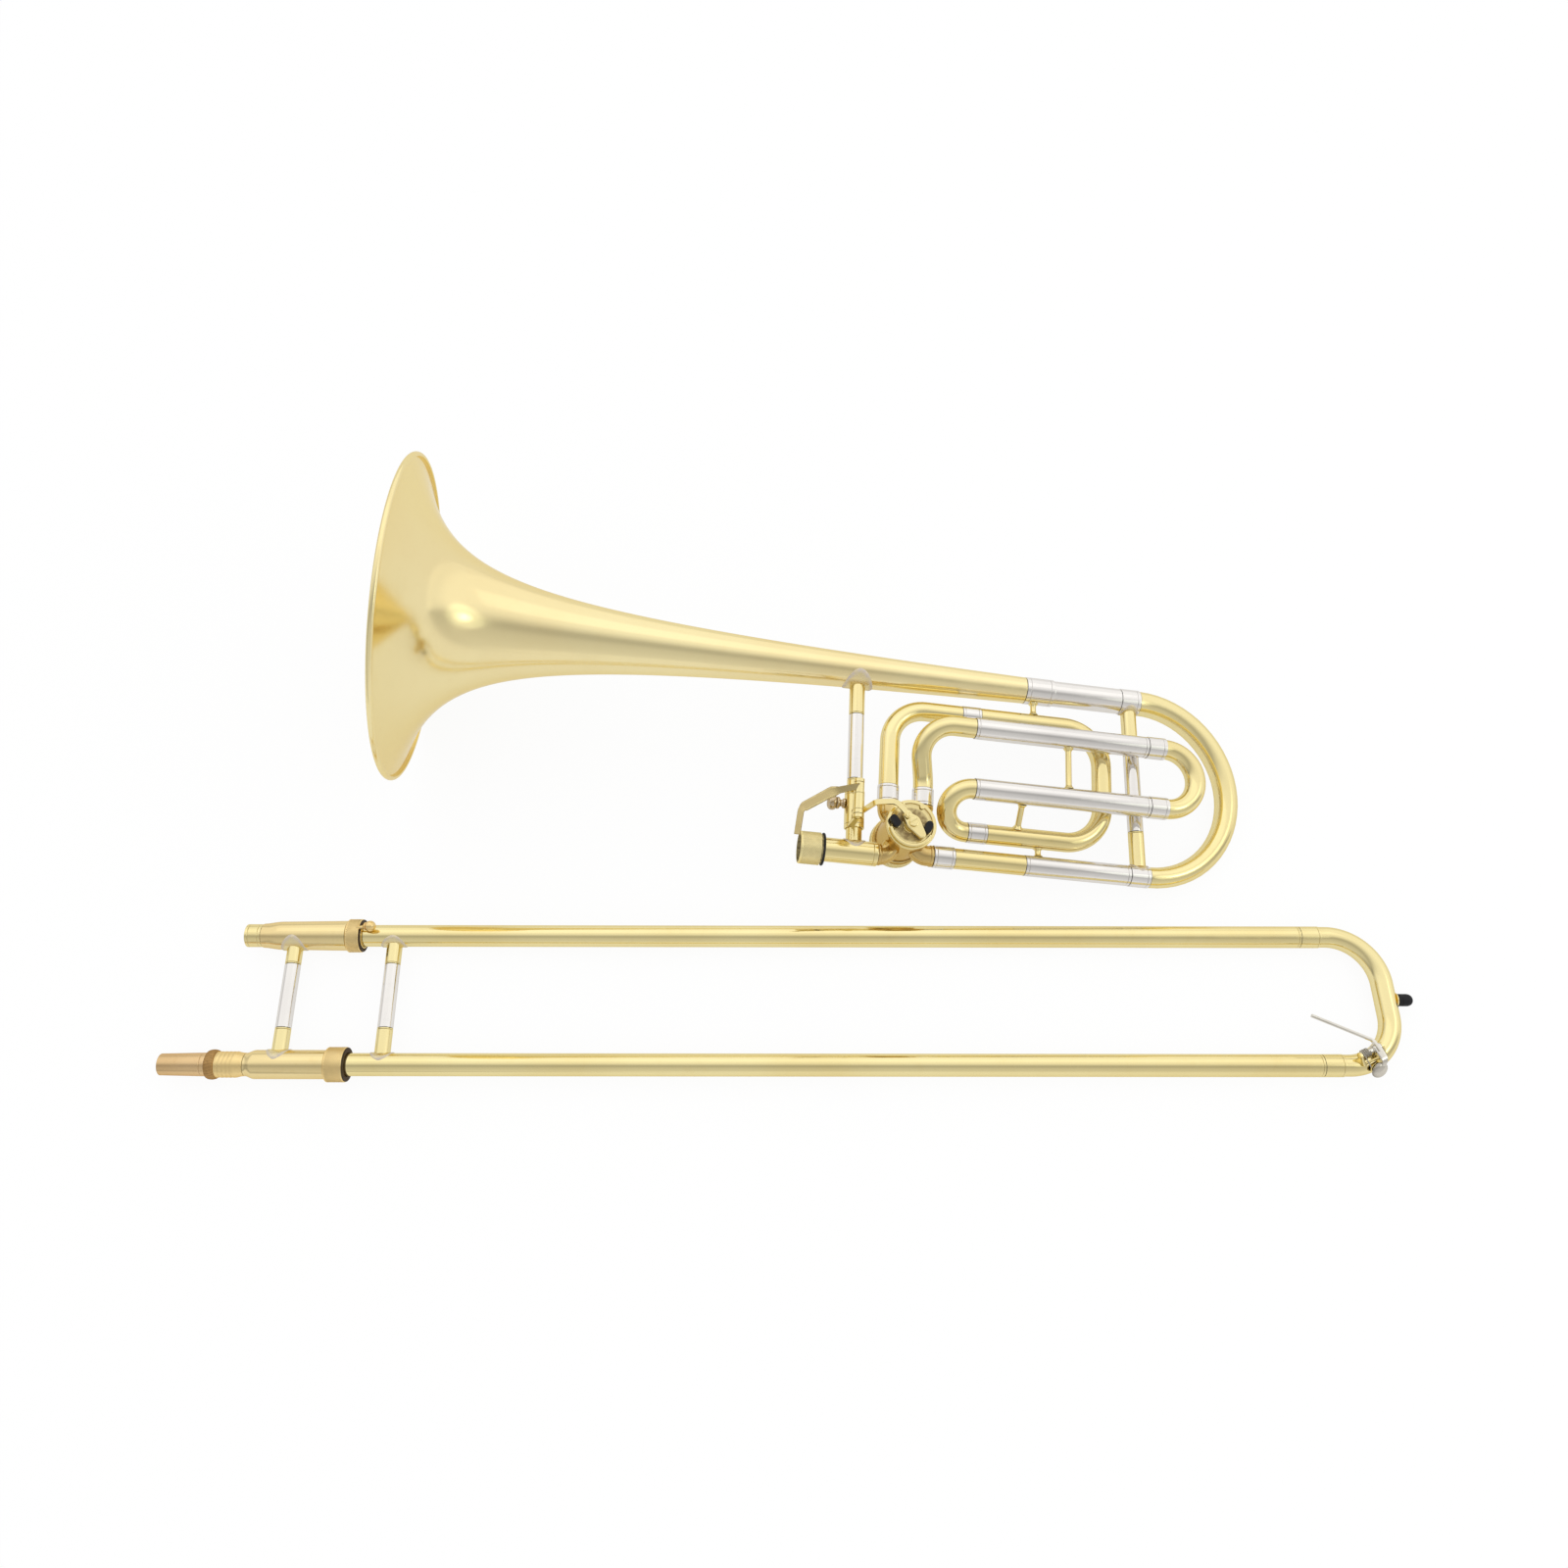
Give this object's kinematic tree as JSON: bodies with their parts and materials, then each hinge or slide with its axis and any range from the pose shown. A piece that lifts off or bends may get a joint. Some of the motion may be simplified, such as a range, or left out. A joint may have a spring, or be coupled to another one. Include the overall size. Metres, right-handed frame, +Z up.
{
  "type": "tenor trombone",
  "caption": "Tenor trombone with an F attachment, in two halves side by side: bell section with rotary valve and tuning slides, and hand slide with bow and water key.",
  "frame": {"origin": "middle of the bounding box's bottom face, on the table that the object lies on", "axes": "+X from the bell's mouth towards the bow, along the hand slide; +Y from the hand slide towards the bell section; +Z up"},
  "size_m": [0.8082, 0.3921, 0.2132],
  "materials": {
    "bell": "polished brass under clear lacquer",
    "bell_brace_core": "polished brass under clear lacquer",
    "bell_brace_sleeve": "polished nickel silver",
    "bow_bumper": "matt black rubber",
    "f_left_crook": "polished brass under clear lacquer",
    "f_lower_sleeve": "polished nickel silver",
    "f_outlet_coupling": "polished nickel silver",
    "f_outlet_elbow": "polished brass under clear lacquer",
    "f_outlet_ferrule": "polished nickel silver",
    "f_return_elbow": "polished brass under clear lacquer",
    "f_return_ferrule": "polished nickel silver",
    "f_slide_crook": "polished brass under clear lacquer",
    "f_slide_lower_leg": "polished nickel silver",
    "f_slide_upper_leg": "polished nickel silver",
    "f_stay_bell": "polished brass under clear lacquer",
    "f_stay_neck": "polished brass under clear lacquer",
    "f_stay_sleeves": "polished brass under clear lacquer",
    "f_stay_wrap": "polished brass under clear lacquer",
    "f_upper_sleeve": "polished nickel silver",
    "f_wrap_coupling": "polished nickel silver",
    "f_wrap_crook": "polished brass under clear lacquer",
    "inner_brace_core": "polished brass under clear lacquer",
    "inner_brace_sleeve": "polished nickel silver",
    "lever_bracket": "polished brass under clear lacquer",
    "link": "polished brass under clear lacquer",
    "lower_barrel": "polished brass under clear lacquer",
    "lower_inner_tube": "polished nickel silver",
    "lower_outer_tube": "polished brass under clear lacquer",
    "lower_sleeve": "polished nickel silver",
    "main_brace_core": "polished brass under clear lacquer",
    "main_brace_sleeve": "polished nickel silver",
    "main_slide_crook": "polished brass under clear lacquer",
    "main_slide_lower_leg": "polished nickel silver",
    "main_slide_upper_leg": "polished nickel silver",
    "mouthpiece_receiver": "polished brass under clear lacquer",
    "neck_ferrule": "polished nickel silver",
    "neck_tube": "polished brass under clear lacquer",
    "outer_brace_core": "polished brass under clear lacquer",
    "outer_brace_sleeve": "polished nickel silver",
    "receiver_nut": "polished brass under clear lacquer",
    "receiver_tube": "polished brass under clear lacquer",
    "rotor": "polished nickel silver",
    "slide_bow": "polished brass under clear lacquer",
    "slide_lock_ring": "polished brass under clear lacquer",
    "slide_tenon": "polished rose brass",
    "stop_arm": "polished brass under clear lacquer",
    "stop_bumper_1": "matt black rubber",
    "stop_bumper_2": "matt black rubber",
    "stop_plate": "polished brass under clear lacquer",
    "tenon_collar": "polished rose brass",
    "thumb_lever": "polished brass under clear lacquer",
    "upper_barrel": "polished brass under clear lacquer",
    "upper_inner_tube": "polished nickel silver",
    "upper_outer_tube": "polished brass under clear lacquer",
    "upper_sleeve": "polished nickel silver",
    "valve_back_cap": "polished brass under clear lacquer",
    "valve_casing": "polished brass under clear lacquer",
    "water_key": "polished brass under clear lacquer",
    "water_key_saddle": "polished brass under clear lacquer",
    "water_key_spring": "drawn spring wire"
  },
  "bodies": {
    "bell_section": {"bell": "bell", "bell_brace_core": "bell_brace_core", "bell_brace_sleeve": "bell_brace_sleeve", "receiver_tube": "receiver_tube", "valve_casing": "valve_casing", "valve_back_cap": "valve_back_cap", "stop_plate": "stop_plate", "stop_bumper_1": "stop_bumper_1", "stop_bumper_2": "stop_bumper_2", "neck_ferrule": "neck_ferrule", "neck_tube": "neck_tube", "lower_sleeve": "lower_sleeve", "upper_sleeve": "upper_sleeve", "f_outlet_ferrule": "f_outlet_ferrule", "f_outlet_elbow": "f_outlet_elbow", "f_outlet_coupling": "f_outlet_coupling", "f_wrap_crook": "f_wrap_crook", "f_wrap_coupling": "f_wrap_coupling", "f_left_crook": "f_left_crook", "f_lower_sleeve": "f_lower_sleeve", "f_upper_sleeve": "f_upper_sleeve", "f_return_elbow": "f_return_elbow", "f_return_ferrule": "f_return_ferrule", "f_stay_bell": "f_stay_bell", "f_stay_sleeves": "f_stay_sleeves", "f_stay_wrap": "f_stay_wrap", "f_stay_neck": "f_stay_neck", "lever_bracket": "lever_bracket"},
    "receiver_nut": {"receiver_nut": "receiver_nut"},
    "main_tuning_slide": {"main_slide_upper_leg": "main_slide_upper_leg", "main_slide_lower_leg": "main_slide_lower_leg", "main_slide_crook": "main_slide_crook", "main_brace_core": "main_brace_core", "main_brace_sleeve": "main_brace_sleeve"},
    "f_tuning_slide": {"f_slide_upper_leg": "f_slide_upper_leg", "f_slide_lower_leg": "f_slide_lower_leg", "f_slide_crook": "f_slide_crook"},
    "rotor": {"rotor": "rotor", "stop_arm": "stop_arm"},
    "thumb_lever": {"thumb_lever": "thumb_lever"},
    "link": {"link": "link"},
    "inner_slide": {"slide_tenon": "slide_tenon", "tenon_collar": "tenon_collar", "lower_barrel": "lower_barrel", "mouthpiece_receiver": "mouthpiece_receiver", "upper_barrel": "upper_barrel", "upper_inner_tube": "upper_inner_tube", "lower_inner_tube": "lower_inner_tube", "inner_brace_core": "inner_brace_core", "inner_brace_sleeve": "inner_brace_sleeve"},
    "slide_lock_ring": {"slide_lock_ring": "slide_lock_ring"},
    "outer_slide": {"upper_outer_tube": "upper_outer_tube", "lower_outer_tube": "lower_outer_tube", "outer_brace_core": "outer_brace_core", "outer_brace_sleeve": "outer_brace_sleeve", "slide_bow": "slide_bow", "bow_bumper": "bow_bumper", "water_key_saddle": "water_key_saddle"},
    "water_key": {"water_key": "water_key", "water_key_spring": "water_key_spring"}
  },
  "joints": [
    {"name": "receiver_nut_turn", "type": "hinge", "parent": "bell_section", "child": "receiver_nut", "pos_m": [0.00229, -0.05109, 0.04902], "axis": [0.9871, -0.0414, -0.1548], "continuous": true},
    {"name": "main_slide_pull", "type": "slide", "parent": "bell_section", "child": "main_tuning_slide", "axis": [0.9871, -0.0414, -0.1548], "range_m": [0, 0.045]},
    {"name": "f_slide_pull", "type": "slide", "parent": "bell_section", "child": "f_tuning_slide", "axis": [0.9871, -0.0414, -0.1548], "range_m": [0, 0.09]},
    {"name": "thumb_lever_press", "type": "hinge", "parent": "bell_section", "child": "thumb_lever", "pos_m": [0.04146, -0.01697, 0.0752], "axis": [-0.0608, -0.9905, -0.1231], "range_deg": [0, 34], "stiffness_Nm_per_rad": 0.08},
    {"name": "link_turn", "type": "hinge", "parent": "thumb_lever", "child": "link", "pos_m": [0.03959, -0.02973, 0.05695], "axis": [-0.0608, -0.9905, -0.1231], "range_deg": [-36, 2]},
    {"name": "rotor_turn", "type": "hinge", "parent": "bell_section", "child": "rotor", "pos_m": [0.07292, -0.03707, 0.04021], "axis": [-0.1483, 0.1309, -0.9802], "range_deg": [0, 92]},
    {"name": "slide_section_lift", "type": "slide", "parent": "bell_section", "child": "inner_slide", "axis": [0, 0, 1], "range_m": [0, 0.25]},
    {"name": "lock_ring_turn", "type": "hinge", "parent": "inner_slide", "child": "slide_lock_ring", "pos_m": [-0.29735, -0.09965, 0.01098], "axis": [1, 0, -0.0052], "range_deg": [0, 40]},
    {"name": "outer_slide_travel", "type": "slide", "parent": "inner_slide", "child": "outer_slide", "axis": [1, 0, -0.0052], "range_m": [0, 0.58]},
    {"name": "water_key_press", "type": "hinge", "parent": "outer_slide", "child": "water_key", "pos_m": [0.36534, -0.17773, 0.01732], "axis": [-0.9135, -0.4067, 0.0048], "range_deg": [0, 18], "stiffness_Nm_per_rad": 0.02}
  ],
  "couplings": [
    {"joint": "rotor_turn", "follows": "thumb_lever_press", "ratio": 2.6471},
    {"joint": "link_turn", "follows": "thumb_lever_press", "ratio": -1}
  ]
}
